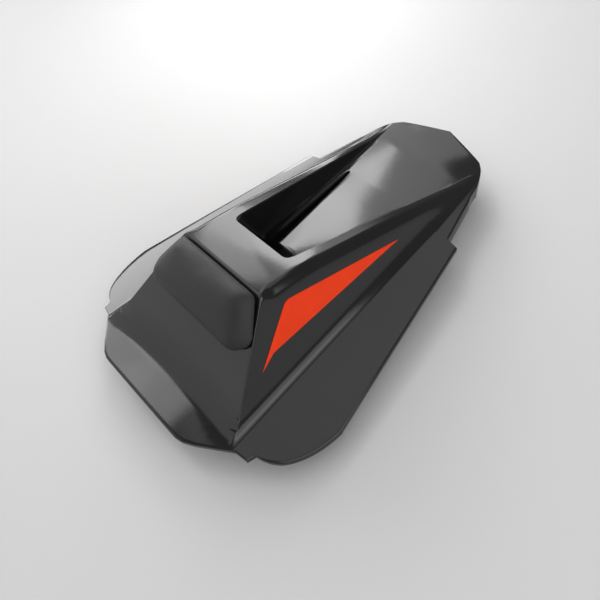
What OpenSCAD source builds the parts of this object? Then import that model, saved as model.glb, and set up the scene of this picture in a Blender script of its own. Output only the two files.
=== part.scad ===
// Pillion seat cowl of a motorcycle: a moulded cover shell with a raised hump, a backrest pad,
// side stripes, a ribbed base tray, rubber buffers and the striker of the seat lock.
// Millimetres. X runs across (+X is the left side), +Y points to the tail and Z is up.
// Every module is drawn with Y from the front edge and Z from the crown of the flange,
// and placed() moves it so that the origin lies on the ground below the middle.

/* [Cover outline] */
// Length from the front edge to the tail tip
cowl_l = 361; // [340:1:385]
// Greatest width, over the side flanges
cowl_w = 253; // [240:1:270]
// Distance from the front edge to the widest place
widest_y = 88; // [80:1:95]
// Half width of the straight front edge before its chamfered corner
front_half = 52.6; // [45:0.1:58]
// Half width at the small tab between the front corner and the side
tab_half = 95.7; // [92:0.1:100]
// Distance from the front edge to the tab tip
tab_y = 26; // [24:0.5:29]
// Distance from the tail tip to the notch in each side
notch_back = 98; // [90:1:106]
// Half width in front of the notch
notch_half = 87.2; // [83:0.1:92]
// Step inwards at the notch
notch_step = 9.9; // [6:0.1:12]
// Half width at the rounded tail corner
tail_half = 60; // [56:0.5:64]
// Radius of the arch across the flange
arch_r = 530; // [450:10:700]

/* [Cover section] */
// Wall thickness of the moulded cover
wall = 2.5; // [2:0.1:3]
// Depth of the turned-down edge in front of the notch
edge_drop = 4.5; // [4:0.1:6]
// Depth of the turned-down edge behind the notch
tail_drop = 12; // [10:0.5:14]
// Rounding of the turned-down edge
edge_round = 1.6; // [1.2:0.1:2]
// Height of the hump over the flange at the pad seam
hump_h = 60; // [52:0.5:66]
// Distance from the front edge to the pad seam
seam_y = 103; // [98:0.5:108]
// Slope of the front face in degrees
face_angle = 43; // [40:0.5:46]
// Half width of the hump at flange level, level with the pad seam
hump_half = 70.4; // [66:0.1:74]
// Narrowing of the hump on each side for each millimetre towards the tail
hump_taper = 0.073; // [0.05:0.001:0.09]
// Inward lean of the hump's side walls for each millimetre of height
side_lean = 0.43; // [0.38:0.01:0.48]
// Slope of the bridge behind the pad in degrees
bridge_slope = 8.5; // [6:0.1:10]
// Distance from the tail tip to where the fins beside the pocket run out
fin_back = 41; // [36:1:46]
// Size of the soft fillet between hump and flange
foot_blend = 14; // [10:0.5:18]
// Size of the rounding along the outer edge of the fins
fin_blend = 12; // [8:0.5:14]

/* [Pocket] */
// Length of the bridge between the pad seam and the pocket
bridge_l = 35; // [30:0.5:40]
// Half width of the pocket at the bridge
pocket_half = 30.3; // [27:0.1:32]
// Widening of the pocket on each side for each millimetre towards the tail
pocket_flare = 0.096; // [0.08:0.001:0.1]
// Draft of the pocket's side walls in degrees
pocket_draft = 16; // [14:0.5:18]
// Draft of the pocket's front wall in degrees
pocket_front_draft = 19; // [17:0.5:22]
// Radius of the pocket's front corners at the rim
pocket_corner_r = 5.5; // [4:0.5:7]
// Height of the ledge round the pocket floor over the flange
ledge_h = 17; // [15:0.5:18]
// Height of the tongue's front lip over the flange
tongue_h = 19.5; // [18:0.5:21]
// Height of the pocket floor over the flange where the air slit ends
floor_end_h = 5; // [4:0.5:6]
// Half width of the tongue at its front lip
tongue_half = 12.5; // [11:0.5:14]
// Half width of the tongue where the air slit ends
tongue_end_half = 33; // [31:0.5:34]
// Width of the air slit along the front of the tongue
slit_w = 6; // [5:0.1:7]
// Width of the air slit beside the tongue's front lip
slit_side_w = 9.5; // [8:0.5:10]
// Width of the air slit where it ends
slit_end_w = 1.6; // [1.4:0.1:2]
// Distance from the end of the air slit to where the fins run out
slit_back = 57.5; // [52:0.5:62]

/* [Backrest pad] */
// Thickness of the pad, square to the front face
pad_t = 14.5; // [12:0.5:17]
// Height of the pad up the slope of the front face
pad_h = 37; // [33:0.5:42]
// Edge radius of the pad
pad_r = 6; // [5:0.5:7]
// Thickness of the backing plate
plate_t = 2; // [1.5:0.1:3]
// Margin between the pad's outline and the plate's
plate_margin = 6; // [4:0.5:8]

/* [Side stripes] */
// Thickness of the self-adhesive stripe
stripe_t = 0.3; // [0.2:0.05:0.4]
// Distance from the pad seam forward to the stripe's lower front corner
stripe_front = 29; // [24:0.5:32]
// Distance from the pad seam forward to the stripe's lower bend
stripe_bend = 14; // [10:0.5:18]
// Distance from the pad seam back to the stripe's upper corner
stripe_top = 14; // [10:0.5:18]
// Distance from the stripe's rear tip to where the fins run out
stripe_back = 92.5; // [86:0.5:98]
// Depths of the stripe's corners below the edge of the side wall, in the same order
stripe_below = [17, 25.7, 15, 13];

/* [Base tray] */
// Wall and floor thickness of the base tray
tray_t = 2.5; // [2:0.1:3]
// Depth of the tray's floor below the flange crown
tray_depth = 24; // [22:0.5:26]
// Distance from the cover's outline in to the tray's wall
tray_inset = 12; // [10:0.5:15]
// Gap between the tray's rim and the inside of the cover
tray_gap = 0.3; // [0.2:0.05:0.5]
// Depth of the stiffening ribs under the tray
rib_h = 4; // [3:0.5:5]
// Thickness of the stiffening ribs
rib_t = 2; // [1.6:0.1:2.5]
// Spacing of the ribs along the tray
rib_pitch = 44; // [38:1:50]
// Width of each front hook
hook_w = 16; // [12:1:20]
// Forward reach of each front hook
hook_l = 16; // [12:1:20]

/* [Rubber buffers] */
// Diameter of each buffer
buffer_d = 22; // [18:1:26]
// Height of each buffer below the tray
buffer_h = 8; // [7:0.5:10]
// Diameter of the buffer's neck and of its hole in the tray
buffer_neck_d = 8; // [6:0.5:10]

/* [Seat lock] */
// Diameter of the striker's rod
rod_d = 8; // [7:0.5:9]
// Inside width of the striker's loop
loop_w = 26; // [22:1:30]
// Thickness of the striker's plate
bracket_t = 2.5; // [2:0.1:3]
// Distance from the tail tip to the striker
striker_back = 75; // [70:1:80]
// Depth of the tray's well round the striker
well_h = 15; // [12:0.5:17]

/* [Screws] */
// Thread diameter of the cover screws
cover_screw_d = 5; // [4:0.5:6]
// Thread diameter of the pad screws
pad_screw_d = 4; // [3:0.5:5]
// Thread diameter of the striker's bolts
bolt_d = 6; // [5:0.5:6.5]
// Clearance round a screw in its hole
screw_gap = 0.25; // [0.2:0.05:0.4]

/* [Hidden] */
$fn = 48;
eps = 0.01;

gloss_black = [0.05, 0.05, 0.055];
vinyl_grey = [0.22, 0.22, 0.22];
plastic_black = [0.1, 0.1, 0.1];
rubber_black = [0.15, 0.15, 0.15];
steel = [0.65, 0.66, 0.68];
orange = [1, 0.27, 0];

half_w = cowl_w / 2;
ground = -(tray_depth + buffer_h);
front_zone = 42;
tail_zone = cowl_l - 53;
notch_y = cowl_l - notch_back;
fin_end_y = cowl_l - fin_back;
tab_root_y = tab_y + 7;
tab_root_half = tab_half + 1.7;
tab_slope = 0.17;
corner_slope = 0.74;
corner_blend = 6;
tail_point = 0.32;
tail_corner = 2.1;
tail_corner_x = tail_half - 18;
tail_blend = 14;
bridge_y = seam_y + bridge_l;
bridge_z = hump_h - bridge_l * tan(bridge_slope);
fin_slope = atan(bridge_z / (fin_end_y - bridge_y));
crease_blend = 1.5;
rim_blend = 1.2;
pocket_blend = 3.7 * pocket_corner_r;
floor_blend = 4;
ledge_w = 1.5;
ledge_y = bridge_y + (bridge_z - ledge_h) * tan(pocket_front_draft) + ledge_w;
tongue_y = ledge_y + slit_w;
slit_end_y = fin_end_y - slit_back;
slit_l = slit_end_y - tongue_y;
tongue_crown = 0.5;
lip_drop = 1.2;
lip_w = 1.5;
tail_floor_slope = 0.12;

// Soft minimum and maximum: the two surfaces blend where they are less than k apart
function soft_min(a, b, k) = min(a, b) - pow(max(k - abs(a - b), 0), 2) / (4 * k);
function soft_max(a, b, k) = -soft_min(-a, -b, k);
function mix(a, b, t) = a + (b - a) * min(max(t, 0), 1);
function ramp(t) = let (u = min(max(t, 0), 1)) u * u * (3 - 2 * u);

// Outline of the cover
function front_edge(x) = min(
    soft_max(0, corner_slope * (x - front_half), corner_blend),
    tab_y - tab_slope * (tab_half - x));
function tail_bend(x) = soft_max(tail_point * x, tail_corner * (x - tail_corner_x), tail_blend);
function shoulder(y) = let (u = (widest_y - y) / (widest_y - tab_root_y))
    half_w - (half_w - tab_root_half) * (1 - sqrt(max(1 - u * u, 0)));
function side_half(y) =
    y < tab_root_y ? mix(tab_half, tab_root_half, (y - tab_y) / (tab_root_y - tab_y)) :
    y < widest_y ? shoulder(y) :
    y <= notch_y ? mix(half_w, notch_half, (y - widest_y) / (notch_y - widest_y)) :
    mix(notch_half - notch_step, tail_half,
        (y - notch_y) / (cowl_l - tail_bend(tail_half) - notch_y));

// A station is a line across the cover, named by its Y at the centre.
// Near both ends it bends to follow the outline.
function station_y(s, x) =
    s < front_zone ? s + front_edge(x) * (1 - s / front_zone) :
    s > tail_zone ? s - tail_bend(x) * (s - tail_zone) / (cowl_l - tail_zone) : s;
function station_half(s) =
    s < front_zone ? side_half(tab_y + s * (1 - tab_y / front_zone)) :
    s > tail_zone ? side_half(s - tail_bend(tail_half) * (s - tail_zone) / (cowl_l - tail_zone)) :
    side_half(s);

// Surfaces that the outer skin is blended from
function flange_z(x) = sqrt(arch_r * arch_r - x * x) - arch_r;
function face_z(y) = hump_h + (y - seam_y) * tan(face_angle);
function top_z(y) = soft_min(hump_h - (y - seam_y) * tan(bridge_slope),
    bridge_z - (y - bridge_y) * tan(fin_slope), 3);
function hump_foot(y) = hump_half - hump_taper * (y - seam_y);
function side_z(x, y) = (hump_foot(y) - x) / side_lean;
function crest_z(y) = soft_min(face_z(y), top_z(y), crease_blend);
function edge_blend(y) = mix(crease_blend, fin_blend, ramp((y - seam_y + 6) / 16));
function foot_fillet(y) = mix(foot_blend, foot_blend / 2, (y - notch_y) / (tail_zone - notch_y));
function rim_x(y) = pocket_half + pocket_flare * (max(y, bridge_y) - bridge_y);
function wall_front_z(y) = bridge_z - (y - bridge_y) / tan(pocket_front_draft);
function wall_side_z(x, y) = top_z(y) - (rim_x(y) - x) / tan(pocket_draft);
function tongue_t(y) = (y - tongue_y) / slit_l;
function tongue_x(y) = mix(tongue_half, tongue_end_half, tongue_t(y));
function slit_x(y) = tongue_x(y) + mix(slit_side_w, slit_end_w, tongue_t(y));
function bare_floor_z(x, y) =
    y > slit_end_y ? floor_end_h - (y - slit_end_y) * tail_floor_slope :
    y > ledge_y + eps && x < tongue_x(y) + eps ? mix(tongue_h, floor_end_h, tongue_t(y)) +
        tongue_crown * (1 - tongue_t(y)) * (1 - pow(x / tongue_x(y), 2)) :
    mix(ledge_h, floor_end_h, (y - ledge_y) / (slit_end_y - ledge_y));
function floor_z(x, y) = soft_max(bare_floor_z(x, y), flange_z(x) + rim_blend, foot_blend / 2);
function skin_z(x, y) = let (
    hump = soft_min(crest_z(y), side_z(x, y), edge_blend(y)),
    body = soft_max(hump, flange_z(x), foot_fillet(y)),
    walls = soft_max(wall_front_z(y), wall_side_z(x, y), pocket_blend),
    basin = soft_max(walls, floor_z(x, y), floor_blend))
    y < bridge_y - rim_blend ? body : soft_min(body, basin, rim_blend);

// Stations along the cover, from the front edge to the tail: first those that a feature lies on,
// then those that only follow the form
fixed_stations = [0, edge_round * 0.25, edge_round, ledge_y - lip_w, ledge_y, tongue_y, tongue_y + lip_w,
    slit_end_y, notch_y, notch_y + 1, cowl_l - edge_round, cowl_l - edge_round * 0.25, cowl_l];
form_stations = concat(
    [for (t = [0.2, 0.42, 0.62, 0.8, 1]) front_zone * t],
    [for (t = [0.13, 0.27, 0.43, 0.62, 0.82, 0.95]) mix(front_zone, seam_y, t)],
    [for (d = [0, 2, 5, 10, 20]) seam_y + d],
    [for (t = [-0.05, 0, 0.06, 0.18, 0.35, 0.65, 0.8]) bridge_y + (ledge_y - bridge_y) * t],
    [for (t = [0.1, 0.22, 0.36, 0.5, 0.64, 0.78, 0.9]) mix(tongue_y, slit_end_y, t)],
    [for (t = [0.25, 0.5, 0.75, 1]) mix(notch_y + 1, tail_zone, t)],
    [for (t = [0.2, 0.42, 0.64, 0.84]) mix(tail_zone, cowl_l, t)]);
least_step = 0.4;
function sorted(list) = len(list) < 2 ? list : let (middle = list[floor(len(list) / 2)]) concat(
    sorted([for (v = list) if (v < middle) v]), [middle], sorted([for (v = list) if (v > middle) v]));
function is_clear(s) = min([for (f = fixed_stations) abs(s - f)]) > least_step;
stations = sorted(concat(fixed_stations, [for (s = form_stations) if (is_clear(s)) s]));
last = len(stations) - 1;
ledge_row = search(ledge_y, stations)[0];
tongue_row = search(tongue_y, stations)[0];
slit_end_row = search(slit_end_y, stations)[0];

// Places across a station, from the centre to the edge, before they are kept in order
function wanted(s) = let (
    y = max(s, 30),
    crest = max(crest_z(y), flange_z(hump_foot(y))),
    edge = hump_foot(y) - side_lean * crest,
    foot = hump_foot(y) - side_lean * flange_z(hump_foot(y)),
    soft = edge_blend(y) * side_lean,
    fillet = foot_fillet(y) * side_lean,
    t = tongue_x(s),
    l = slit_x(s),
    r = rim_x(s),
    f = r - (top_z(max(s, ledge_y)) - floor_z(r, max(s, ledge_y))) * tan(pocket_draft))
    [0, t / 2, t - lip_w, t, l, l + lip_w, f - 1, f + 1.5, (f + 1.5 + 2 * r) / 3, r, (r + edge - soft) / 2,
    edge - soft, edge - soft / 2, edge, edge + soft / 2, edge + soft,
    (edge + soft + foot - fillet) / 2, foot - fillet, foot - fillet / 3, foot + fillet / 3,
    foot + fillet];
function in_order(list, i = 0, low = -1) = i == len(list) ? [] :
    let (x = max(list[i], low + 0.25)) concat([x], in_order(list, i + 1, x));
function across(s) = let (
    inner = in_order(wanted(s)),
    half = station_half(s),
    fit = min(1, (half - 5) / inner[len(inner) - 1]),
    shrunk = [for (x = inner) x * fit],
    foot = shrunk[len(shrunk) - 1])
    concat(shrunk, [(foot + half - edge_round) / 2, half - edge_round, half - edge_round * 0.25, half]);
columns = len(across(0)) - 1;
tongue_col = 3;

// The edge is rounded and turned down, deeper behind the notch
function edge_fall(i, j) = let (
    depth = stations[i] > notch_y + eps ? tail_drop : edge_drop,
    k = min(i, last - i, columns - j))
    k == 0 ? depth : k == 1 ? edge_round * 0.6 : 0;
function on_slit(i, j) =
    (i == ledge_row && j <= tongue_col + 1) || (i == tongue_row && j <= tongue_col) ||
    (i > ledge_row && i <= slit_end_row && (j == tongue_col || j == tongue_col + 1));
half_grid = [for (i = [0 : last]) let (row = across(stations[i])) [for (j = [0 : columns]) let (
    x = row[j],
    y = station_y(stations[i], x),
    lip = on_slit(i, j) ? lip_drop : 0)
    [x, y, skin_z(x, y) - edge_fall(i, j) - lip]]];
function mirrored(p) = [-p[0], p[1], p[2]];
outer_grid = [for (row = half_grid) concat(
    [for (j = [columns : -1 : 1]) mirrored(row[j])], row)];
wide = 2 * columns;
function unit(v) = v / norm(v);
function skin_normal(g, i, j) = let (
    along = g[min(i + 1, last)][j] - g[max(i - 1, 0)][j],
    over = g[i][min(j + 1, wide)] - g[i][max(j - 1, 0)])
    unit(cross(over, along));
inner_grid = [for (i = [0 : last]) [for (j = [0 : wide])
    outer_grid[i][j] - wall * skin_normal(outer_grid, i, j)]];

// Cells of the skin, without those in the air slit
function is_cell(i, j) = let (c = j < columns ? columns - 1 - j : j - columns)
    i >= 0 && i < last && j >= 0 && j < wide &&
    !(i == ledge_row && c <= tongue_col) &&
    !(i > ledge_row && i < slit_end_row && c == tongue_col);
function outer_id(i, j) = i * (wide + 1) + j;
function inner_id(i, j) = outer_id(i, j) + (last + 1) * (wide + 1);
function band(a, b, c, d) = [[a, b, c], [a, c, d]];
function cell_faces(i, j) = concat(
    band(outer_id(i, j), outer_id(i + 1, j), outer_id(i + 1, j + 1), outer_id(i, j + 1)),
    band(inner_id(i, j), inner_id(i, j + 1), inner_id(i + 1, j + 1), inner_id(i + 1, j)),
    is_cell(i - 1, j) ? [] :
        band(outer_id(i, j), outer_id(i, j + 1), inner_id(i, j + 1), inner_id(i, j)),
    is_cell(i + 1, j) ? [] :
        band(outer_id(i + 1, j + 1), outer_id(i + 1, j), inner_id(i + 1, j), inner_id(i + 1, j + 1)),
    is_cell(i, j - 1) ? [] :
        band(outer_id(i + 1, j), outer_id(i, j), inner_id(i, j), inner_id(i + 1, j)),
    is_cell(i, j + 1) ? [] :
        band(outer_id(i, j + 1), outer_id(i + 1, j + 1), inner_id(i + 1, j + 1), inner_id(i, j + 1)));
skin_faces = [for (i = [0 : last - 1], j = [0 : wide - 1]) if (is_cell(i, j))
    for (f = cell_faces(i, j)) f];

// Backrest pad, in the frame of the front face
function crease_half(v) =
    hump_foot(seam_y + v * cos(face_angle)) - side_lean * (hump_h + v * sin(face_angle));
pad_edge_gap = 1;
pad_side_in = 7;
pad_top_in = 5;
pad_corners = [[crease_half(0) - pad_edge_gap, -pad_edge_gap],
    [crease_half(-pad_h) - pad_edge_gap, -pad_h]];
plate_corners = [[pad_corners[0][0] - plate_margin, -plate_margin],
    [pad_corners[1][0] - plate_margin, plate_margin - pad_h]];
pad_boss_h = plate_t + 6;
pad_boss_d = pad_screw_d + 4;
pad_screw_x = 26;
pad_screw_v = [-13, 10 - pad_h];

// Side stripe: corners as Y and height over the flange crown, on the plane of the side wall.
// The two front corners lie below the front edge of the side wall, the others below the fin.
stripe_ys = [seam_y - stripe_front, seam_y - stripe_bend, fin_end_y - stripe_back, seam_y + stripe_top];
stripe_corners = [for (k = [0 : 3]) let (y = stripe_ys[k])
    [y, (k < 2 ? face_z(y) : top_z(y)) - stripe_below[k]]];
stripe_radii = [0, 4, 0, 8];
side_n = unit([1, hump_taper, side_lean]);
side_u = unit([-hump_taper, 1, 0]);
side_v = cross(side_n, side_u);
function on_side(p) = let (d = [hump_foot(p[0]) - side_lean * p[1], p[0], p[1]] - [hump_half, seam_y, 0])
    [d * side_u, d * side_v];

// Base tray
tray_top = tray_t - tray_depth;
tray_corner_r = 10;
rib_x = 38;
hook_x = tab_half - 45.7;
hook_y = tray_inset + 20;
hook_post = 6;
hook_t = 3;
hook_lift = 1;
well_half = 26;
well_reach = 34;

// Rubber buffers as half distance apart and Y, and how far their barbs reach over the tray
buffers_at = [[half_w - 48.5, widest_y - 32], [notch_half - 39.2, notch_y - 35]];
barb = 1.5;

// Cover screws, each into a boss under the cover
head_ratio = 0.55;
head_wide = 1.8;
boss_d = cover_screw_d + 5;
boss_in = tray_inset + 12;
shoulder_screw_y = widest_y - 13;
notch_screw_y = notch_y - 28;
tail_screw_y = cowl_l - 45;
screw_ys = [shoulder_screw_y, (shoulder_screw_y + notch_screw_y) / 2, notch_screw_y, tail_screw_y];
cover_screws_at = [for (side = [-1, 1]) for (p = concat([[30, tray_inset + 14]],
    [for (y = screw_ys) [side_half(y) - boss_in, y]])) [side * p[0], p[1]]];
function pilot_depth(p) = min(12, skin_z(abs(p[0]), p[1]) - wall - 0.5 - tray_top);

// Striker of the seat lock, hung under the roof of the tray's well
striker_y = cowl_l - striker_back;
bracket_z = well_h - tray_depth - bracket_t;
bracket_half = 22;
bracket_reach = 30;
bolt_reach = 21;
bolt_head_h = 4;
nut_h = 5;
hex_across = bolt_d + 4;
leg_x = (loop_w + rod_d) / 2;
loop_r = rod_d * 1.25;
loop_h = bracket_z - ground - rod_d / 2 - 1.5;

// Corner of an outline as an arc of radius r, from the side towards a to the side towards c
function corner(a, b, c, r, steps = 6) = r == 0 ? [b] : let (
    u = unit(a - b),
    v = unit(c - b),
    h = acos(u * v) / 2,
    centre = b + unit(u + v) * r / sin(h),
    from = b + u * r / tan(h) - centre,
    to = b + v * r / tan(h) - centre)
    [for (k = [0 : steps]) centre + r * unit(mix_points(from, to, k / steps))];
function mix_points(a, b, t) = a * (1 - t) + b * t;
function rounded(points, radii) = let (n = len(points)) [for (i = [0 : n - 1])
    for (p = corner(points[(i + n - 1) % n], points[i], points[(i + 1) % n], radii[i])) p];
function both_sides(half) = concat(half, [for (i = [len(half) - 1 : -1 : 0]) [-half[i][0], half[i][1]]]);
function same(value, points) = [for (p = points) value];

module placed() {
    translate([0, -cowl_l / 2, -ground]) children();
}

// Draws on the front face: Y up the slope from the seam and Z square to the face
module on_face() {
    translate([0, seam_y, hump_h]) rotate([face_angle, 0, 0]) children();
}

module screw(d, length) {
    difference() {
        union() {
            translate([0, 0, -head_ratio * d]) cylinder(d = d * head_wide, h = head_ratio * d);
            cylinder(d = d, h = length);
        }
        translate([0, 0, -head_ratio * d - eps]) cylinder(d = d * 0.9, h = d * 0.35, $fn = 6);
    }
}

module at_pad_screws() {
    for (x = [-pad_screw_x, pad_screw_x], v = pad_screw_v) translate([x, v, 0]) children();
}

module moulded_skin() {
    polyhedron(
        points = concat([for (row = outer_grid, p = row) p], [for (row = inner_grid, p = row) p]),
        faces = skin_faces);
}

module cover_shell() color(gloss_black) placed() {
    difference() {
        union() {
            moulded_skin();
            for (p = cover_screws_at) translate([p[0], p[1], tray_top])
                cylinder(d = boss_d, h = skin_z(abs(p[0]), p[1]) - wall / 2 - tray_top);
        }
        for (p = cover_screws_at) translate([p[0], p[1], tray_top - eps])
            cylinder(d = cover_screw_d, h = pilot_depth(p) + eps);
        on_face() at_pad_screws() translate([0, 0, -2 * wall])
            cylinder(d = pad_screw_d + 2 * screw_gap, h = 3 * wall);
    }
}

module pad_block() {
    hull() {
        linear_extrude(eps + 1) polygon(rounded(both_sides(pad_corners), same(pad_r, [0, 0, 0, 0])));
        for (side = [-1, 1]) {
            translate([side * (pad_corners[0][0] - pad_side_in - pad_r), -pad_top_in - pad_r,
                pad_t - pad_r]) sphere(r = pad_r, $fn = 32);
            translate([side * (pad_corners[1][0] - pad_side_in - pad_r), -pad_h,
                pad_t - pad_r]) sphere(r = pad_r, $fn = 32);
        }
    }
}

module plate_solid() {
    linear_extrude(plate_t) polygon(rounded(both_sides(plate_corners), same(pad_r / 2, [0, 0, 0, 0])));
    at_pad_screws() cylinder(d = pad_boss_d, h = pad_boss_h);
}

module backrest_pad() color(vinyl_grey) placed() on_face() {
    difference() {
        pad_block();
        plate_solid();
    }
}

module pad_plate() color(plastic_black) placed() on_face() {
    difference() {
        plate_solid();
        at_pad_screws() translate([0, 0, -eps])
            cylinder(d = pad_screw_d, h = pad_boss_h - 1 + eps);
    }
}

module pad_screws() color(steel) placed() on_face() at_pad_screws() {
    translate([0, 0, -wall]) screw(pad_screw_d, wall + pad_boss_h - 2);
}

module stripe() {
    multmatrix([
        [side_u[0], side_v[0], side_n[0], hump_half],
        [side_u[1], side_v[1], side_n[1], seam_y],
        [side_u[2], side_v[2], side_n[2], 0],
        [0, 0, 0, 1]])
        linear_extrude(stripe_t)
            polygon(rounded([for (p = stripe_corners) on_side(p)], stripe_radii));
}

module stripe_left() color(orange) placed() stripe();
module stripe_right() color(orange) placed() mirror([1, 0, 0]) stripe();

// Tray outline, set in from the cover's by the tray's inset and more
function tray_outline(more) = let (
    inset = tray_inset + more,
    half = [[front_half - 6, inset], [tab_half - inset, tab_y + inset],
        [half_w - inset, widest_y - inset], [half_w - inset, widest_y],
        [notch_half - inset, notch_y - inset], [notch_half - notch_step - inset, notch_y],
        [tail_half - inset, cowl_l - tail_bend(tail_half) - 4],
        [tail_half / 3, cowl_l - inset - 8]])
    rounded(both_sides(half), same(tray_corner_r, both_sides(half)));

module tray_pan() {
    difference() {
        intersection() {
            translate([0, 0, -tray_depth]) linear_extrude(tray_depth) polygon(tray_outline(0));
            translate([0, cowl_l / 2, -arch_r]) rotate([90, 0, 0])
                cylinder(r = arch_r - wall - tray_gap, h = cowl_l, center = true, $fn = 180);
        }
        translate([0, 0, tray_top]) linear_extrude(tray_depth) polygon(tray_outline(tray_t));
    }
}

module well(grow, height) {
    translate([-well_half - grow, striker_y - well_reach - grow, -tray_depth])
        cube([2 * (well_half + grow), 2 * (well_reach + grow), height]);
}

module tray_ribs() {
    difference() {
        intersection() {
            union() {
                for (y = [tray_inset + rib_pitch / 2 : rib_pitch : cowl_l])
                    translate([-half_w, y - rib_t / 2, -tray_depth - rib_h]) cube([cowl_w, rib_t, rib_h]);
                for (x = [-rib_x, rib_x])
                    translate([x - rib_t / 2, 0, -tray_depth - rib_h]) cube([rib_t, cowl_l, rib_h]);
            }
            translate([0, 0, -tray_depth - rib_h]) linear_extrude(rib_h) polygon(tray_outline(tray_t));
        }
        for (p = buffers_at, side = [-1, 1]) translate([side * p[0], p[1], ground])
            cylinder(d = buffer_d + 2, h = buffer_h);
        for (p = cover_screws_at) translate([p[0], p[1], ground])
            cylinder(d = cover_screw_d * head_wide + 1, h = buffer_h);
        translate([0, 0, -buffer_h]) well(0, buffer_h);
    }
}

module front_hook() {
    translate([-hook_w / 2, 0, ground + hook_lift])
        cube([hook_w, hook_post, buffer_h - hook_lift]);
    translate([-hook_w / 2, -hook_l, ground + hook_lift]) cube([hook_w, hook_l + hook_post, hook_t]);
}

module base_tray() color(plastic_black) placed() {
    difference() {
        union() {
            tray_pan();
            well(tray_t, well_h + tray_t);
            tray_ribs();
            for (x = [-hook_x, hook_x]) translate([x, hook_y, 0]) front_hook();
        }
        translate([0, 0, -eps]) well(0, well_h + eps);
        for (p = cover_screws_at) translate([p[0], p[1], -tray_depth - eps])
            cylinder(d = cover_screw_d + 2 * screw_gap, h = tray_t + 2 * eps);
        for (p = buffers_at, side = [-1, 1]) translate([side * p[0], p[1], -tray_depth - eps])
            cylinder(d = buffer_neck_d, h = tray_t + 2 * eps);
        at_bolts() cylinder(d = bolt_d + 2 * screw_gap, h = well_h + 2 * tray_t);
    }
}

module buffer() {
    translate([0, 0, -tray_depth]) rotate_extrude() polygon([
        [0, -buffer_h], [buffer_d / 2 - 1, -buffer_h], [buffer_d / 2, 1 - buffer_h],
        [buffer_d / 2, 0], [buffer_neck_d / 2, 0], [buffer_neck_d / 2, tray_t],
        [buffer_neck_d / 2 + barb, tray_t], [buffer_neck_d / 2 - 1, tray_t + 4], [0, tray_t + 4]]);
}

module at_buffer(pair, side) placed() translate([side * buffers_at[pair][0], buffers_at[pair][1], 0])
    buffer();
module buffer_front_left() color(rubber_black) at_buffer(0, 1);
module buffer_front_right() color(rubber_black) at_buffer(0, -1);
module buffer_rear_left() color(rubber_black) at_buffer(1, 1);
module buffer_rear_right() color(rubber_black) at_buffer(1, -1);

module cover_screws() color(steel) placed() {
    for (p = cover_screws_at) translate([p[0], p[1], -tray_depth])
        screw(cover_screw_d, tray_t + pilot_depth(p) - 1);
}

module at_bolts() {
    for (d = [-bolt_reach, bolt_reach]) translate([0, striker_y + d, bracket_z]) children();
}

module striker_plate() color(steel) placed() {
    difference() {
        translate([0, striker_y, bracket_z]) linear_extrude(bracket_t) polygon(rounded(
            [[-bracket_half, -bracket_reach], [bracket_half, -bracket_reach],
            [bracket_half, bracket_reach], [-bracket_half, bracket_reach]], same(5, [0, 0, 0, 0])));
        at_bolts() translate([0, 0, -eps]) cylinder(d = bolt_d + 2 * screw_gap, h = bracket_t + 2 * eps);
    }
}

module lock_striker() color(steel) placed() translate([0, striker_y, bracket_z]) {
    for (side = [-1, 1]) {
        translate([side * leg_x, 0, loop_r - loop_h]) cylinder(d = rod_d, h = loop_h - loop_r);
        translate([side * (leg_x - loop_r), 0, loop_r - loop_h]) rotate([90, 0, 0])
            rotate([0, 0, side > 0 ? -90 : 180]) rotate_extrude(angle = 90)
            translate([loop_r, 0]) circle(d = rod_d);
    }
    translate([0, 0, -loop_h]) rotate([0, 90, 0])
        cylinder(d = rod_d, h = 2 * (leg_x - loop_r), center = true);
}

module hex(across, h) cylinder(d = across / cos(30), h = h, $fn = 6);

module striker_bolts() color(steel) placed() at_bolts() {
    translate([0, 0, -bolt_head_h]) hex(hex_across, bolt_head_h);
    cylinder(d = bolt_d, h = bracket_t + tray_t + nut_h + 1);
}

module striker_nuts() color(steel) placed() at_bolts() translate([0, 0, bracket_t + tray_t]) {
    difference() {
        hex(hex_across, nut_h);
        translate([0, 0, -eps]) cylinder(d = bolt_d, h = nut_h + 2 * eps);
    }
}

cover_shell();
backrest_pad();
pad_plate();
pad_screws();
stripe_left();
stripe_right();
base_tray();
buffer_front_left();
buffer_front_right();
buffer_rear_left();
buffer_rear_right();
cover_screws();
striker_plate();
lock_striker();
striker_bolts();
striker_nuts();
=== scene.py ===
import math

import bmesh
import bpy
from mathutils import Matrix, Vector


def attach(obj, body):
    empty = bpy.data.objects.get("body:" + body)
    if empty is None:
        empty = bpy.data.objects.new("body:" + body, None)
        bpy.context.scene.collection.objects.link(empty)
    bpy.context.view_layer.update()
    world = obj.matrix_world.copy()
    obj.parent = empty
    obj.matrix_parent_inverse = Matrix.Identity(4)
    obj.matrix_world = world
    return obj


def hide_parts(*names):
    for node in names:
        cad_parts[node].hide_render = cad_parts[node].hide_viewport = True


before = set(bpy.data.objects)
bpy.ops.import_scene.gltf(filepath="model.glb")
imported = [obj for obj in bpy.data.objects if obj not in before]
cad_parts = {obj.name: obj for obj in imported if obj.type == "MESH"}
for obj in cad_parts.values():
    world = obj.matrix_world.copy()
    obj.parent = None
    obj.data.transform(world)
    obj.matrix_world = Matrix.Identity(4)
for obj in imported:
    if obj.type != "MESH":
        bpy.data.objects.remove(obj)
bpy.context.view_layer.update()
scene = bpy.context.scene
mm = 0.001
print("frame loaded:", len(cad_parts), "CAD nodes")

# Camera, at the photograph's angle
cameraPlace = {
    "lens": 36.0,
    "sensor": 36.0,
    "position": (0.2631, -0.1776, 0.4226),
    "right": (0.675, 0.7225, -0.1475),
    "up": (-0.552, 0.628, 0.5478),
    "back": (0.489, -0.2886, 0.8227),
}


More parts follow.
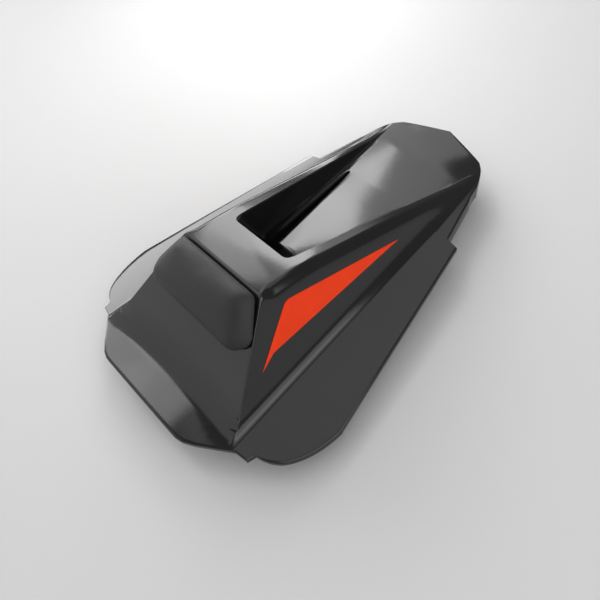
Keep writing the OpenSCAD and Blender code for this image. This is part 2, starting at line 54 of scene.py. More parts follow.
def makeCamera(place):
    data = bpy.data.cameras.new("camera")
    data.lens = place["lens"]
    data.sensor_width = place["sensor"]
    data.clip_start = 0.01
    data.clip_end = 50
    camera = bpy.data.objects.new("camera", data)
    scene.collection.objects.link(camera)
    turn = Matrix((place["right"], place["up"], place["back"])).transposed()
    camera.matrix_world = Matrix.Translation(place["position"]) @ turn.to_quaternion().to_matrix().to_4x4()
    scene.camera = camera


makeCamera(cameraPlace)

# Studio: each softbox is a pale panel of light that faces the origin from where it stands
softboxes = {
    "keyBand": {"at": (-3.05, 0.59, 1.38), "wide": 3.13, "tall": 0.9, "power": 56},
    "finPanel": {"at": (-0.465, 0.395, 0.215), "wide": 0.3, "tall": 0.07, "power": 0.6},
    "nearPanel": {"at": (-0.363, 0.317, 0.4), "wide": 0.275, "tall": 0.155, "power": 0.87},
    "bridgePanel": {"at": (-0.364, 0.208, 0.492), "wide": 0.13, "tall": 0.085, "power": 0.15},
    "rearFill": {"at": (-1.61, 2.14, 2.09), "wide": 0.94, "tall": 1.7, "power": 9},
    "leftFill": {"at": (-2.19, -0.04, 2.6), "wide": 0.78, "tall": 2.34, "power": 20},
    "topFill": {"at": (0.09, 0.99, 3.46), "wide": 2.62, "tall": 2.62, "power": 19},
    "frontFill": {"at": (-1.98, -2.05, 1.85), "wide": 3.93, "tall": 4.1, "power": 41},
    "rightFill": {"at": (2.5, -0.35, 2.27), "wide": 3.9, "tall": 2.08, "power": 24},
    "stripeFill": {"at": (1.6, -0.07, 0.78), "wide": 1.8, "tall": 1.0, "power": 8.5},
}
studio = {"floorSize": 16.0, "floorTone": 0.56, "worldTone": 0.25}


def makeStudio():
    for name, box in softboxes.items():
        data = bpy.data.lights.new(name, "AREA")
        data.shape = "RECTANGLE"
        data.size = box["wide"]
        data.size_y = box["tall"]
        data.energy = box["power"]
        lamp = bpy.data.objects.new(name, data)
        scene.collection.objects.link(lamp)
        lamp.location = box["at"]
        lamp.rotation_mode = "QUATERNION"
        lamp.rotation_quaternion = (-Vector(box["at"])).to_track_quat("-Z", "Y")
    world = bpy.data.worlds.new("studio")
    world.use_nodes = True
    tree = world.node_tree
    tree.nodes.clear()
    glow = tree.nodes.new("ShaderNodeBackground")
    glow.inputs["Color"].default_value = (1, 1, 1, 1)
    glow.inputs["Strength"].default_value = studio["worldTone"]
    end = tree.nodes.new("ShaderNodeOutputWorld")
    tree.links.new(glow.outputs[0], end.inputs["Surface"])
    scene.world = world
    scene.view_settings.view_transform = "Standard"

    bm = bmesh.new()
    bmesh.ops.create_grid(bm, x_segments=2, y_segments=2, size=studio["floorSize"] / 2)
    newPiece("studio_floor", bm, paleFloor())


# Mesh helpers
def newPiece(name, bm, material=None, smoothBelow=None):
    mesh = bpy.data.meshes.new(name)
    bm.to_mesh(mesh)
    bm.free()
    piece = bpy.data.objects.new(name, mesh)
    scene.collection.objects.link(piece)
    if material:
        mesh.materials.append(material)
    if smoothBelow:
        mesh.shade_smooth()
        mesh.set_sharp_from_angle(angle=math.radians(smoothBelow))
    return piece


def keepEvaluated(piece):  # swaps the mesh for its modified one and drops the modifiers
    graph = bpy.context.evaluated_depsgraph_get()
    mesh = bpy.data.meshes.new_from_object(piece.evaluated_get(graph))
    piece.modifiers.clear()
    piece.data = mesh


# Material helpers
class Finish:
    def __init__(self, name, **sockets):
        self.material = bpy.data.materials.new(name)
        self.material.use_nodes = True
        self.tree = self.material.node_tree
        self.shader = self.tree.nodes["Principled BSDF"]
        for socket, value in sockets.items():
            self.shader.inputs[socket.replace("_", " ")].default_value = value
        self.place = self.tree.nodes.new("ShaderNodeTexCoord").outputs["Object"]
        self.normal = None

    def node(self, kind, **inputs):
        made = self.tree.nodes.new(kind)
        for socket, value in inputs.items():
            made.inputs[socket.replace("_", " ")].default_value = value
        return made

    def link(self, source, target):
        self.tree.links.new(source, target)

    def noise(self, scale, detail=3.0, rough=0.5, stretch=None):
        made = self.node("ShaderNodeTexNoise", Scale=scale, Detail=detail, Roughness=rough)
        place = self.place
        if stretch:
            mapping = self.node("ShaderNodeMapping", Scale=stretch)
            self.link(place, mapping.inputs["Vector"])
            place = mapping.outputs["Vector"]
        self.link(place, made.inputs["Vector"])
        return made.outputs["Fac"]

    def cells(self, scale):
        made = self.node("ShaderNodeTexVoronoi", Scale=scale)
        self.link(self.place, made.inputs["Vector"])
        return made.outputs["Distance"]

    def spread(self, value, low, high, toLow, toHigh):
        made = self.node("ShaderNodeMapRange", From_Min=low, From_Max=high, To_Min=toLow, To_Max=toHigh)
        self.link(value, made.inputs["Value"])
        return made.outputs["Result"]

    def tint(self, value, low, high, dark, light):
        ramp = self.node("ShaderNodeValToRGB")
        ramp.color_ramp.elements[0].position = low
        ramp.color_ramp.elements[0].color = (*dark, 1)
        ramp.color_ramp.elements[1].position = high
        ramp.color_ramp.elements[1].color = (*light, 1)
        self.link(value, ramp.inputs["Fac"])
        return ramp.outputs["Color"]

    def blendColour(self, share, linked, plain):  # the mix node's colour sockets are found by their place
        made = self.node("ShaderNodeMix")
        made.data_type = "RGBA"
        self.link(share, made.inputs[0])
        self.link(linked, made.inputs[6])
        made.inputs[7].default_value = (*plain, 1)
        return made.outputs[2]

    def add(self, first, second):
        made = self.node("ShaderNodeMath")
        made.operation = "ADD"
        self.link(first, made.inputs[0])
        self.link(second, made.inputs[1])
        return made.outputs[0]

    def wornEdges(self):
        shape = self.node("ShaderNodeNewGeometry")
        return self.spread(shape.outputs["Pointiness"], 0.52, 0.62, 0.0, 1.0)

    def bump(self, height, strength, distance):
        made = self.node("ShaderNodeBump", Strength=strength, Distance=distance)
        self.link(height, made.inputs["Height"])
        if self.normal:
            self.link(self.normal, made.inputs["Normal"])
        self.normal = made.outputs["Normal"]
        self.link(self.normal, self.shader.inputs["Normal"])

    def colour(self, source):
        self.link(source, self.shader.inputs["Base Color"])

    def roughness(self, source):
        self.link(source, self.shader.inputs["Roughness"])


def paleFloor():
    finish = Finish("pale_floor", Roughness=0.62)
    tone = studio["floorTone"]
    finish.colour(finish.tint(finish.noise(3.0, 2.0), 0.3, 0.7, (tone * 0.98,) * 3, (tone,) * 3))
    return finish.material


def glossBlack():  # injection-moulded and clear-coated, with faint orange peel, dust and hairline marks
    finish = Finish("gloss_black", IOR=1.5)
    finish.colour(finish.tint(finish.noise(14.0, 2.0), 0.35, 0.7, (0.0055, 0.0056, 0.006), (0.009, 0.0092, 0.0098)))
    haze = finish.spread(finish.noise(22.0, 4.0), 0.3, 0.75, 0.105, 0.15)
    hairlines = finish.noise(260.0, 3.0, 0.6, stretch=(1.0, 0.05, 1.0))
    finish.roughness(finish.add(haze, finish.spread(hairlines, 0.62, 0.75, 0.0, 0.05)))
    finish.bump(finish.noise(330.0, 1.0), 0.035, 0.0004)
    return finish.material


def padVinyl():  # soft matte vinyl with a fine leather-like grain
    finish = Finish("pad_vinyl", Sheen_Weight=0.04, Sheen_Roughness=0.5, Specular_IOR_Level=0.4)
    grain = finish.cells(1100.0)
    cloud = finish.noise(60.0, 4.0)
    finish.colour(finish.blendColour(
        finish.spread(grain, 0.05, 0.6, 0.0, 0.35),
        finish.tint(cloud, 0.3, 0.7, (0.013, 0.013, 0.0135), (0.018, 0.018, 0.0185)), (0.03, 0.03, 0.031)))
    finish.roughness(finish.spread(cloud, 0.3, 0.7, 0.54, 0.66))
    finish.bump(grain, 0.22, 0.0003)
    finish.bump(finish.noise(2600.0, 2.0), 0.12, 0.0001)
    return finish.material


def orangeFilm():  # self-adhesive film, even in colour, with a soft satin top layer
    finish = Finish("orange_film", Specular_IOR_Level=0.25)
    finish.colour(finish.tint(finish.noise(35.0, 3.0), 0.3, 0.7, (0.9, 0.038, 0.0), (1.0, 0.052, 0.0)))
    finish.roughness(finish.spread(finish.noise(180.0, 3.0), 0.3, 0.7, 0.3, 0.4))
    finish.bump(finish.noise(900.0, 2.0), 0.04, 0.0001)
    return finish.material


def trayPlastic():  # spark-eroded black plastic, paler where handling has rubbed its edges
    finish = Finish("black_plastic")
    base = finish.tint(finish.noise(45.0, 4.0), 0.3, 0.7, (0.016, 0.016, 0.017), (0.026, 0.026, 0.027))
    finish.colour(finish.blendColour(finish.wornEdges(), base, (0.07, 0.07, 0.072)))
    finish.roughness(finish.spread(finish.noise(120.0, 3.0), 0.3, 0.7, 0.46, 0.6))
    finish.bump(finish.cells(1500.0), 0.3, 0.00025)
    return finish.material


def bufferRubber():  # moulded rubber with a dusty bloom
    finish = Finish("rubber")
    base = finish.tint(finish.noise(90.0, 5.0), 0.35, 0.7, (0.014, 0.014, 0.014), (0.030, 0.030, 0.029))
    finish.colour(finish.blendColour(finish.wornEdges(), base, (0.06, 0.059, 0.057)))
    finish.roughness(finish.spread(finish.noise(300.0, 3.0), 0.3, 0.7, 0.74, 0.9))
    finish.bump(finish.noise(1400.0, 3.0), 0.3, 0.0002)
    return finish.material


def zincSteel():  # bright zinc plating with a mottled passivation
    finish = Finish("zinc_steel", Metallic=1.0)
    finish.colour(finish.tint(finish.cells(240.0), 0.1, 0.8, (0.47, 0.47, 0.46), (0.66, 0.65, 0.62)))
    finish.roughness(finish.spread(finish.noise(400.0, 4.0), 0.3, 0.7, 0.24, 0.44))
    finish.bump(finish.noise(1800.0, 2.0), 0.12, 0.0001)
    return finish.material


# Cover shell: sizes in millimetres, Y from the front edge and Z from the crown of the flange
cover = {
    "length": 361.0, "width": 253.0, "widestAt": 88.0, "archRadius": 530.0,
    "frontHalf": 52.6, "tabHalf": 95.7, "tabAt": 26.0, "tabSlope": 0.17,
    "notchAt": 263.0, "notchHalf": 87.2, "notchStep": 9.9, "tailHalf": 60.0,
    "wall": 2.5, "edgeDrop": 4.5, "tailDrop": 12.0, "edgeRound": 1.6,
    "frontZone": 42.0, "tailZone": 308.0, "cornerSlope": 0.74, "cornerBlend": 6.0,
    "tailPoint": 0.32, "tailCorner": 2.1, "tailCornerX": 42.0, "tailBlend": 14.0,
    "humpHigh": 60.0, "seamAt": 103.0, "faceAngle": 43.0, "humpHalf": 70.4, "humpTaper": 0.073,
    "sideLean": 0.43, "bridgeSlope": 8.5, "finEndAt": 320.0, "footBlend": 14.0, "finBlend": 12.0,
    "finTopBlend": 3.0, "creaseBlend": 1.5, "widenFrom": -6.0, "widenLong": 16.0, "bridgeLong": 35.0,
    "pocketHalf": 30.3, "pocketFlare": 0.096, "pocketDraft": 16.0, "pocketFrontDraft": 19.0,
    "rimBlend": 1.2, "pocketBlend": 20.35, "floorBlend": 4.0,
    "ledgeHigh": 17.0, "ledgeWide": 1.5, "tongueHigh": 19.5, "tongueHalf": 12.5, "tongueEndHalf": 33.0,
    "tongueCrown": 0.5, "slitWide": 6.0, "slitSideWide": 9.5, "slitEndWide": 1.6, "slitEndAt": 262.5,
    "lipDrop": 1.2, "lipWide": 1.5, "lipFade": 12.0, "floorEndHigh": 5.0, "tailFloorSlope": 0.12,
    "ground": -32.0, "sharpAbove": 38,
}
c = cover
halfWide = c["width"] / 2
tabRootAt = c["tabAt"] + 7
tabRootHalf = c["tabHalf"] + 1.7


def tanOf(degrees):
    return math.tan(math.radians(degrees))


bridgeAt = c["seamAt"] + c["bridgeLong"]
bridgeHigh = c["humpHigh"] - c["bridgeLong"] * tanOf(c["bridgeSlope"])
ledgeAt = bridgeAt + (bridgeHigh - c["ledgeHigh"]) * tanOf(c["pocketFrontDraft"]) + c["ledgeWide"]
tongueAt = ledgeAt + c["slitWide"]
slitEndAt = c["slitEndAt"]


def clamp(value, low=0.0, high=1.0):
    return min(max(value, low), high)


def mix(first, second, share):
    return first + (second - first) * clamp(share)


def ease(share):
    share = clamp(share)
    return share * share * (3 - 2 * share)


def softMin(first, second, reach):  # the two surfaces blend where they are less than reach apart
    return min(first, second) - max(reach - abs(first - second), 0) ** 2 / (4 * reach)


def softMax(first, second, reach):
    return -softMin(-first, -second, reach)


def frontEdge(x):
    chamfer = softMax(0, c["cornerSlope"] * (x - c["frontHalf"]), c["cornerBlend"])
    return min(chamfer, c["tabAt"] - c["tabSlope"] * (c["tabHalf"] - x))


def tailBend(x):
    return softMax(c["tailPoint"] * x, c["tailCorner"] * (x - c["tailCornerX"]), c["tailBlend"])


def sideHalf(y):
    if y < tabRootAt:
        return mix(c["tabHalf"], tabRootHalf, (y - c["tabAt"]) / (tabRootAt - c["tabAt"]))
    if y < c["widestAt"]:
        u = (c["widestAt"] - y) / (c["widestAt"] - tabRootAt)
        return halfWide - (halfWide - tabRootHalf) * (1 - math.sqrt(max(1 - u * u, 0)))
    if y <= c["notchAt"]:
        return mix(halfWide, c["notchHalf"], (y - c["widestAt"]) / (c["notchAt"] - c["widestAt"]))
    end = c["length"] - tailBend(c["tailHalf"])
    return mix(c["notchHalf"] - c["notchStep"], c["tailHalf"], (y - c["notchAt"]) / (end - c["notchAt"]))


def rowY(s, x):  # rows bend near both ends to follow the outline
    if s < c["frontZone"]:
        return s + frontEdge(x) * (1 - s / c["frontZone"])
    if s > c["tailZone"]:
        return s - tailBend(x) * (s - c["tailZone"]) / (c["length"] - c["tailZone"])
    return s


def rowHalf(s):
    if s < c["frontZone"]:
        return sideHalf(c["tabAt"] + s * (1 - c["tabAt"] / c["frontZone"]))
    if s > c["tailZone"]:
        bend = tailBend(c["tailHalf"]) * (s - c["tailZone"]) / (c["length"] - c["tailZone"])
        return sideHalf(s - bend)
    if c["notchAt"] < s < c["notchAt"] + 1:
        return mix(c["notchHalf"], c["notchHalf"] - c["notchStep"], s - c["notchAt"])
    return sideHalf(s)


def flangeZ(x):
    return math.sqrt(c["archRadius"] ** 2 - x * x) - c["archRadius"]


def faceZ(y):
    return c["humpHigh"] + (y - c["seamAt"]) * tanOf(c["faceAngle"])


def topZ(y):
    fin = bridgeHigh * (c["finEndAt"] - y) / (c["finEndAt"] - bridgeAt)
    return softMin(c["humpHigh"] - (y - c["seamAt"]) * tanOf(c["bridgeSlope"]), fin, c["finTopBlend"])


def humpFoot(y):
    return c["humpHalf"] - c["humpTaper"] * (y - c["seamAt"])


def crestZ(y):
    return softMin(faceZ(y), topZ(y), c["creaseBlend"])


def edgeBlend(y):
    share = (y - c["seamAt"] - c["widenFrom"]) / c["widenLong"]
    return mix(c["creaseBlend"], c["finBlend"], ease(share))


def footFillet(y):
    return mix(c["footBlend"], c["footBlend"] / 2, (y - c["notchAt"]) / (c["tailZone"] - c["notchAt"]))


def rimX(y):
    return c["pocketHalf"] + c["pocketFlare"] * (max(y, bridgeAt) - bridgeAt)


def tongueShare(y):
    return clamp((y - tongueAt) / (slitEndAt - tongueAt))


def tongueX(y):
    return mix(c["tongueHalf"], c["tongueEndHalf"], tongueShare(y))


def slitX(y):
    return tongueX(y) + mix(c["slitSideWide"], c["slitEndWide"], tongueShare(y))


def floorZ(x, y):
    if y > slitEndAt:
        bare = c["floorEndHigh"] - (y - slitEndAt) * c["tailFloorSlope"]
    elif y > ledgeAt + 0.01 and x < tongueX(y) + 0.01:
        crown = c["tongueCrown"] * (1 - tongueShare(y)) * (1 - (x / tongueX(y)) ** 2)
        bare = mix(c["tongueHigh"], c["floorEndHigh"], tongueShare(y)) + crown
    else:
        bare = mix(c["ledgeHigh"], c["floorEndHigh"], (y - ledgeAt) / (slitEndAt - ledgeAt))
    return softMax(bare, flangeZ(x) + c["rimBlend"], c["footBlend"] / 2)


def skinZ(x, y):
    side = (humpFoot(y) - x) / c["sideLean"]
    hump = softMin(crestZ(y), side, edgeBlend(y))
    body = softMax(hump, flangeZ(x), footFillet(y))
    if y < bridgeAt - c["rimBlend"]:
        return body
    frontWall = bridgeHigh - (y - bridgeAt) / tanOf(c["pocketFrontDraft"])
    sideWall = topZ(y) - (rimX(y) - x) / tanOf(c["pocketDraft"])
    basin = softMax(softMax(frontWall, sideWall, c["pocketBlend"]), floorZ(x, y), c["floorBlend"])
    return softMin(body, basin, c["rimBlend"])


# Rows of the cover's grid: each stretch is a place where it starts and how many steps it takes
def rowPlan():
    r, seam, zone, tail = c["edgeRound"], c["seamAt"], c["frontZone"], c["tailZone"]
    plan = [(0.0, 1), (r * 0.25, 4), (r, 4)]
    plan += [(zone * t, 4) for t in (0.2, 0.42, 0.62, 0.8, 1)]
    plan += [(mix(zone, seam, t), 3) for t in (0.13, 0.27, 0.43, 0.62, 0.82, 0.95)]
    plan += [(seam + d, n) for d, n in ((0, 5), (2, 4), (5, 4), (10, 5), (20, 5))]
    plan += [(bridgeAt + (ledgeAt - bridgeAt) * t, n)
             for t, n in ((-0.05, 5), (0, 6), (0.06, 4), (0.18, 4), (0.35, 4), (0.65, 4), (0.8, 3))]
    plan += [(ledgeAt - c["lipWide"], 4), (ledgeAt, 1), (tongueAt, 4), (tongueAt + c["lipWide"], 3)]
    plan += [(mix(tongueAt, slitEndAt, t), 4) for t in (0.1, 0.22, 0.36, 0.5, 0.64, 0.78, 0.9)]
    plan += [(slitEndAt, 1), (c["notchAt"], 2), (c["notchAt"] + 1, 4)]
    plan += [(mix(c["notchAt"] + 1, tail, t), 4) for t in (0.25, 0.5, 0.75, 1)]
    plan += [(mix(tail, c["length"], t), 4) for t in (0.2, 0.42, 0.64, 0.84)]
    plan += [(c["length"] - r, 4), (c["length"] - r * 0.25, 1), (c["length"], 0)]
    return plan


# Columns of the same grid, and the rules that keep them apart
grid = {"crestFrom": 30.0, "baseBefore": 1.0, "baseAfter": 1.5, "leastStep": 0.25, "edgeRoom": 5.0,
        "roughRound": 0.6, "merge": 0.001, "collapse": 0.0005}
columnSteps = [4, 4, 4, 1, 4, 3, 5, 5, 5, 7, 3, 3, 4, 4, 3, 4, 4, 4, 4, 4, 5, 5, 4, 1]
tongueColumn = 3
pocketColumn = 8  # the steps crowd towards the rim on both sides of it


def places(s):  # from the centre to the side
    y = max(s, grid["crestFrom"])
    crest = max(crestZ(y), flangeZ(humpFoot(y)))
    edge = humpFoot(y) - c["sideLean"] * crest
    foot = humpFoot(y) - c["sideLean"] * flangeZ(humpFoot(y))
    soft = edgeBlend(y) * c["sideLean"]
    fillet = footFillet(y) * c["sideLean"]
    tongue, slit, rim, lip = tongueX(s), slitX(s), rimX(s), c["lipWide"]
    deep = max(s, ledgeAt)
    base = rim - (topZ(deep) - floorZ(rim, deep)) * tanOf(c["pocketDraft"])
    onWall = base + grid["baseAfter"]
    wanted = [0, tongue / 2, tongue - lip, tongue, slit, slit + lip,
              base - grid["baseBefore"], onWall, (onWall + 2 * rim) / 3, rim,
              (rim + edge - soft) / 2, edge - soft, edge - soft / 2, edge, edge + soft / 2, edge + soft,
              (edge + soft + foot - fillet) / 2, foot - fillet, foot - fillet / 3,
              foot + fillet / 3, foot + fillet]
    inner, low = [], -1
    for x in wanted:
        low = max(x, low + grid["leastStep"])
        inner.append(low)
    half = rowHalf(s)
    fit = min(1, (half - grid["edgeRoom"]) / inner[-1])
    inner = [x * fit for x in inner]
    r = c["edgeRound"]
    return inner + [(inner[-1] + half - r) / 2, half - r, half - r * 0.25, half]


def edgeDepth(s):
    return mix(c["edgeDrop"], c["tailDrop"], s - c["notchAt"])


def lipFall(s, x):  # how far the rolled edges of the air slit are turned down
    lip = c["lipWide"]
    fade = clamp((slitEndAt - s) / c["lipFade"])
    tongue, slit = tongueX(s), slitX(s)
    along = across = 1.0  # from 1 on, nothing is turned down
    if tongueAt - 0.01 <= s <= slitEndAt and x <= tongue + 0.01:
        along, across = (s - tongueAt) / lip, (tongue - x) / lip
    elif s <= ledgeAt + 0.01 and x <= slitX(ledgeAt) + 0.01:
        along = (ledgeAt - s) / lip
    elif ledgeAt < s <= slitEndAt and x >= slit - 0.01:
        across = (x - slit) / lip
    front = c["lipDrop"] * clamp(1 - along) ** 2
    side = c["lipDrop"] * clamp(1 - across) ** 2 * fade
    return max(front, side)


def makeCoverShell():
    plan = rowPlan()
    starts = [s for s, n in plan]
    last = len(plan) - 1
    columns = len(columnSteps)
    r = c["edgeRound"]
    rows = [(a, k / n) for a, (s, n) in enumerate(plan) if n for k in range(n)] + [(last - 1, 1.0)]
    halfColumns = [(b, k / n) for b, n in enumerate(columnSteps) for k in range(n)] + [(columns - 1, 1.0)]
    wide = len(halfColumns) - 1

    def rowAt(a, t):  # place along the cover, and how far the rounded edge has fallen there
        if a == 0:
            return 0.0, r + (edgeDepth(0) - r) * (1 - t)
        if a == last - 1:
            return c["length"], r + (edgeDepth(c["length"]) - r) * t
        if a == 1 or a == last - 2:
            turn = math.radians(90) * (1 - t if a == 1 else t)
            reach = r * (1 - math.sin(turn))
            return (reach if a == 1 else c["length"] - reach), r * (1 - math.cos(turn))
        return starts[a] + (starts[a + 1] - starts[a]) * t, 0.0

    def columnAt(found, b, t, depth):
        if b == columns - 1:
            return found[-1], r + (depth - r) * t
        if b == columns - 2:
            turn = math.radians(90) * t
            return found[-3] + r * math.sin(turn), r * (1 - math.cos(turn))
        if b == pocketColumn:
            t = 1 - (1 - t) ** 2
        if b == pocketColumn + 1:
            t = t * t
        return found[b] + (found[b + 1] - found[b]) * t, 0.0

    def outerPoint(i, side, j):
        s, fallRow = rowAt(*rows[i])
        x, fallColumn = columnAt(rowPlaces[i], *halfColumns[j], edgeDepth(s))
        y = rowY(s, x)
        return Vector((side * x, y, skinZ(x, y) - max(fallRow, fallColumn) - lipFall(s, x)))

    def roughPoint(a, b):  # the skin without its fine steps, which the inside is offset from
        s = starts[a]
        x = roughPlaces[a][abs(b)]
        y = rowY(s, x)
        k = min(a, last - a, columns - abs(b))
        fall = edgeDepth(s) if k == 0 else r * grid["roughRound"] if k == 1 else 0
        return Vector((x if b >= 0 else -x, y, skinZ(x, y) - fall))

    rowPlaces = [places(rowAt(a, t)[0]) for a, t in rows]
    roughPlaces = [places(s) for s in starts]
    rough = {(a, b): roughPoint(a, b) for a in range(last + 1) for b in range(-columns, columns + 1)}

    def insidePoint(a, b):
        along = rough[min(a + 1, last), b] - rough[max(a - 1, 0), b]
        over = rough[a, min(b + 1, columns)] - rough[a, max(b - 1, -columns)]
        return rough[a, b] - c["wall"] * over.cross(along).normalized()

    inside = {key: insidePoint(*key) for key in rough}

    def innerPoint(i, side, j):
        (a, t), (b, u) = rows[i], halfColumns[j]
        near = inside[a, side * b].lerp(inside[a, side * (b + 1)], u)
        far = inside[a + 1, side * b].lerp(inside[a + 1, side * (b + 1)], u)
        return near.lerp(far, t)

    def inSlit(i, j):  # cells of the air slit round the front of the tongue
        a, b = rows[i][0], halfColumns[j][0]
        inFront = a == starts.index(ledgeAt) and b <= tongueColumn
        beside = starts.index(ledgeAt) < a < slitEndRow and b == tongueColumn
        return inFront or beside

    slitEndRow = min(range(last + 1), key=lambda a: abs(starts[a] - slitEndAt))
    bm = bmesh.new()
    for skin, pointAt in (("outer", outerPoint), ("inner", innerPoint)):
        made = bmesh.ops.create_grid(bm, x_segments=2 * wide, y_segments=len(rows) - 1, size=1)["verts"]
        fresh = set(made)
        cells = [f for f in bm.faces if f.verts[0] in fresh]
        slit = []
        for cell in cells:
            middle = cell.calc_center_median()
            i = math.floor((middle.y + 1) / 2 * (len(rows) - 1))
            j = math.floor(abs(middle.x) * wide)
            if inSlit(i, j):
                slit.append(cell)
        for vert in made:
            i = round((vert.co.y + 1) / 2 * (len(rows) - 1))
            j = round(abs(vert.co.x) * wide)
            vert.co = pointAt(i, 1 if vert.co.x > 0 else -1, j)
        if skin == "inner":
            bmesh.ops.reverse_faces(bm, faces=cells)
        bmesh.ops.delete(bm, geom=slit, context="FACES")
    joinRims(bm)
    bmesh.ops.remove_doubles(bm, verts=bm.verts, dist=grid["merge"])
    bmesh.ops.dissolve_degenerate(bm, dist=grid["collapse"], edges=bm.edges)
    addScrewBosses(bm)
    bmesh.ops.recalc_face_normals(bm, faces=bm.faces)
    bmesh.ops.translate(bm, vec=(0, -c["length"] / 2, -c["ground"]), verts=bm.verts)
    bmesh.ops.scale(bm, vec=(mm, mm, mm), verts=bm.verts)
    openEdges = sum(not e.is_manifold for e in bm.edges)
    shell = newPiece("cover_skin", bm, glossBlack(), smoothBelow=c["sharpAbove"])
    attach(shell, "root")
    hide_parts("cover_shell")
    print("cover shell:", len(shell.data.polygons), "faces,", openEdges, "open edges")


def joinRims(bm):  # closes the outline and the slit between the outer and inner skin
    seen, loops = set(), []
    for start in [e for e in bm.edges if e.is_boundary]:
        if start in seen:
            continue
        seen.add(start)
        loop = [start]
        for edge in loop:  # the list grows while it is walked
            for near in [e for vert in edge.verts for e in vert.link_edges if e.is_boundary]:
                if near not in seen:
                    seen.add(near)
                    loop.append(near)
        loops.append(loop)
    loops.sort(key=len)
    for k in range(0, len(loops), 2):
        bmesh.ops.bridge_loops(bm, edges=[*loops[k], *loops[k + 1]])


bosses = {"threadWide": 5.0, "bossWide": 10.0, "bossIn": 24.0, "front": (30.0, 26.0),
          "sideAt": (75, 155, 235, 316), "foot": -21.5, "deepest": 12.0, "roof": 0.5,
          "steps": 32}


def addScrewBosses(bm):
    spots = [bosses["front"]] + [(sideHalf(y) - bosses["bossIn"], y) for y in bosses["sideAt"]]
    foot, outer, inner = bosses["foot"], bosses["bossWide"] / 2, bosses["threadWide"] / 2
    for x, y in spots:
        top = skinZ(x, y) - c["wall"] / 2
        hole = foot + min(bosses["deepest"], top - c["wall"] / 2 - bosses["roof"] - foot)
        profile = ((0, top), (outer, top), (outer, foot), (inner, foot), (inner, hole), (0, hole))
        for side in (-1, 1):
            turnProfile(bm, profile, (side * x, y, 0), bosses["steps"])


def turnProfile(bm, profile, centre, steps):  # profile points are distance from the axis and height
    verts = [bm.verts.new((centre[0] + r, centre[1], centre[2] + z)) for r, z in profile]
    edges = [bm.edges.new(pair) for pair in zip(verts, verts[1:])]
    bmesh.ops.spin(bm, geom=verts + edges, cent=centre, axis=(0, 0, 1), angle=math.radians(360),
                   steps=steps, use_merge=True)
    near = [v for v in bm.verts if abs(v.co.x - centre[0]) < 1e-4 and abs(v.co.y - centre[1]) < 1e-4]
    bmesh.ops.remove_doubles(bm, verts=near, dist=1e-4)


# Backrest pad: across, up the slope of the front face from the seam, and square to the face
pad = {
    "thick": 14.5, "high": 37.0, "round": 6.0, "topRound": 8.0, "footRound": 11.0,
    "edgeGap": 0.3, "sideIn": 4.0, "topIn": 2.0, "lift": 0.3, "plateMargin": 6.0, "plateThick": 2.0,
    "footOut": 2.5, "rimLift": 3.0, "heldBelow": 2.2, "flatBelow": 0.2, "plateRoom": 0.1,
    "voxel": 2.2, "pressure": 10.0, "frames": 20, "swell": 2.0, "relax": 5,
}


def creaseHalf(v):
    angle = math.radians(c["faceAngle"])
    return humpFoot(c["seamAt"] + v * math.cos(angle)) - c["sideLean"] * (c["humpHigh"] + v * math.sin(angle))


def onFace():  # from the pad's own axes to the object's
    toFace = Matrix.Translation((0, c["seamAt"] - c["length"] / 2, c["humpHigh"] - c["ground"]))
    return Matrix.Scale(mm, 4) @ toFace @ Matrix.Rotation(math.radians(c["faceAngle"]), 4, "X")


def makePad():
    topHalf = creaseHalf(0) - pad["edgeGap"]
    footHalf = creaseHalf(-pad["high"]) - pad["edgeGap"]
    r = pad["round"]
    end = pad["high"] + r + pad["footOut"]
    bm = bmesh.new()
    for side in (-1, 1):
        for x, level, ball in ((topHalf, -pad["topIn"] - pad["topRound"], pad["topRound"]),
                               (footHalf, pad["footRound"] - end, pad["footRound"])):
            place = Matrix.Translation((side * (x - pad["sideIn"] - ball), level, pad["thick"] - ball))
            bmesh.ops.create_icosphere(bm, subdivisions=4, radius=ball, matrix=place)
        for x, level in ((topHalf, -pad["edgeGap"] - r), (footHalf, r - pad["high"])):
            for lift in (pad["lift"], pad["rimLift"]):
                place = Matrix.Translation((side * (x - r), level, lift))
                bmesh.ops.create_circle(bm, segments=32, radius=r, matrix=place)
    made = bmesh.ops.convex_hull(bm, input=bm.verts)
    bmesh.ops.delete(bm, geom=[g for g in made["geom_interior"] if isinstance(g, bmesh.types.BMVert)],
                     context="VERTS")
    bmesh.ops.delete(bm, geom=[v for v in bm.verts if not v.link_faces], context="VERTS")
    bmesh.ops.bisect_plane(bm, geom=bm.verts[:] + bm.edges[:] + bm.faces[:], plane_co=(0, 0, pad["lift"]),
                           plane_no=(0, 0, 1), clear_inner=True)
    bmesh.ops.holes_fill(bm, edges=[e for e in bm.edges if e.is_boundary])
    bmesh.ops.recalc_face_normals(bm, faces=bm.faces)
    cushion = newPiece("pad_cushion", bm, padVinyl())
    cushion.data.transform(Matrix.Scale(mm, 4))  # it is simulated in its own axes, in metres
    remesh = cushion.modifiers.new("remesh", "REMESH")
    remesh.mode = "VOXEL"
    remesh.voxel_size = pad["voxel"] * mm
    keepEvaluated(cushion)
    swellPad(cushion)
    shapePad(cushion)
    cushion.data.transform(onFace() @ Matrix.Scale(1 / mm, 4))
    finer = cushion.modifiers.new("finer", "SUBSURF")
    finer.levels = finer.render_levels = 1
    cushion.data.shade_smooth()
    keepEvaluated(cushion)
    cushion.data.shade_smooth()
    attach(cushion, "root")
    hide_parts("backrest_pad")
    print("pad:", len(cushion.data.polygons), "faces")


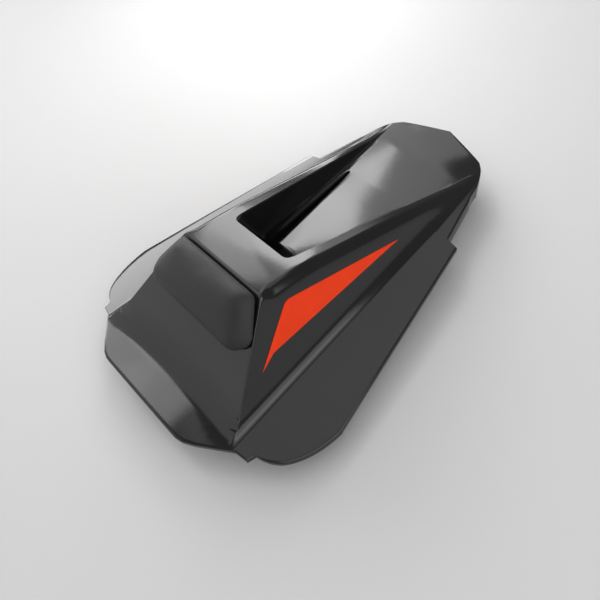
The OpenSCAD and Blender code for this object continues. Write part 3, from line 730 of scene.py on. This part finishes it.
def swellPad(cushion):
    rest = [v.co.copy() for v in cushion.data.vertices]
    back = cushion.vertex_groups.new(name="back")
    back.add([v.index for v in cushion.data.vertices if v.co.z < (pad["lift"] + pad["heldBelow"]) * mm],
             1.0, "REPLACE")
    cloth = cushion.modifiers.new("cloth", "CLOTH")
    cloth.settings.vertex_group_mass = "back"
    cloth.settings.use_pressure = True
    cloth.settings.uniform_pressure_force = pad["pressure"]
    cloth.settings.effector_weights.gravity = 0
    cloth.point_cache.frame_start = 1
    cloth.point_cache.frame_end = pad["frames"]
    for step in range(1, pad["frames"] + 1):
        scene.frame_set(step)
    keepEvaluated(cushion)
    scene.frame_set(1)
    shifts = []
    for vert, was in zip(cushion.data.vertices, rest):
        moved = vert.co - was
        shifts.append(moved.length / mm)
        if moved.length > pad["swell"] * mm:
            vert.co = was + moved.normalized() * pad["swell"] * mm
    print("pad swelled by up to", round(max(shifts), 2), "mm, on average", round(sum(shifts) / len(shifts), 2))


def shapePad(cushion):  # the back lies flat on the shell and leaves room for the backing plate
    bm = bmesh.new()
    bm.from_mesh(cushion.data)
    for step in range(pad["relax"]):
        bmesh.ops.smooth_vert(bm, verts=bm.verts, factor=0.5, use_axis_x=True, use_axis_y=True, use_axis_z=True)
    bm.to_mesh(cushion.data)
    bm.free()
    margin = pad["plateMargin"] + 1
    for vert in cushion.data.vertices:
        vert.co.z = max(vert.co.z, pad["lift"] * mm)
        vert.co.y = min(vert.co.y, -pad["edgeGap"] * mm * 0.5)
        level = vert.co.y / mm
        half = creaseHalf(level) - pad["edgeGap"] - margin
        onBack = vert.co.z < (pad["lift"] + pad["flatBelow"]) * mm
        if onBack and abs(vert.co.x) < half * mm and -pad["high"] + margin - 1 < level < -margin:
            vert.co.z = (pad["plateThick"] + pad["plateRoom"]) * mm


def dressCadNodes():
    finishes = [
        (trayPlastic(), ["base_tray", "pad_plate"]),
        (orangeFilm(), ["stripe_left", "stripe_right"]),
        (bufferRubber(), ["buffer_front_left", "buffer_front_right", "buffer_rear_left", "buffer_rear_right"]),
        (zincSteel(), ["pad_screws", "cover_screws", "striker_plate", "lock_striker",
                       "striker_bolts", "striker_nuts"]),
    ]
    for material, names in finishes:
        for name in names:
            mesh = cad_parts[name].data
            mesh.materials.clear()
            mesh.materials.append(material)
    print("materials on", sum(len(names) for material, names in finishes), "CAD nodes")


makeStudio()
makeCoverShell()
makePad()
dressCadNodes()
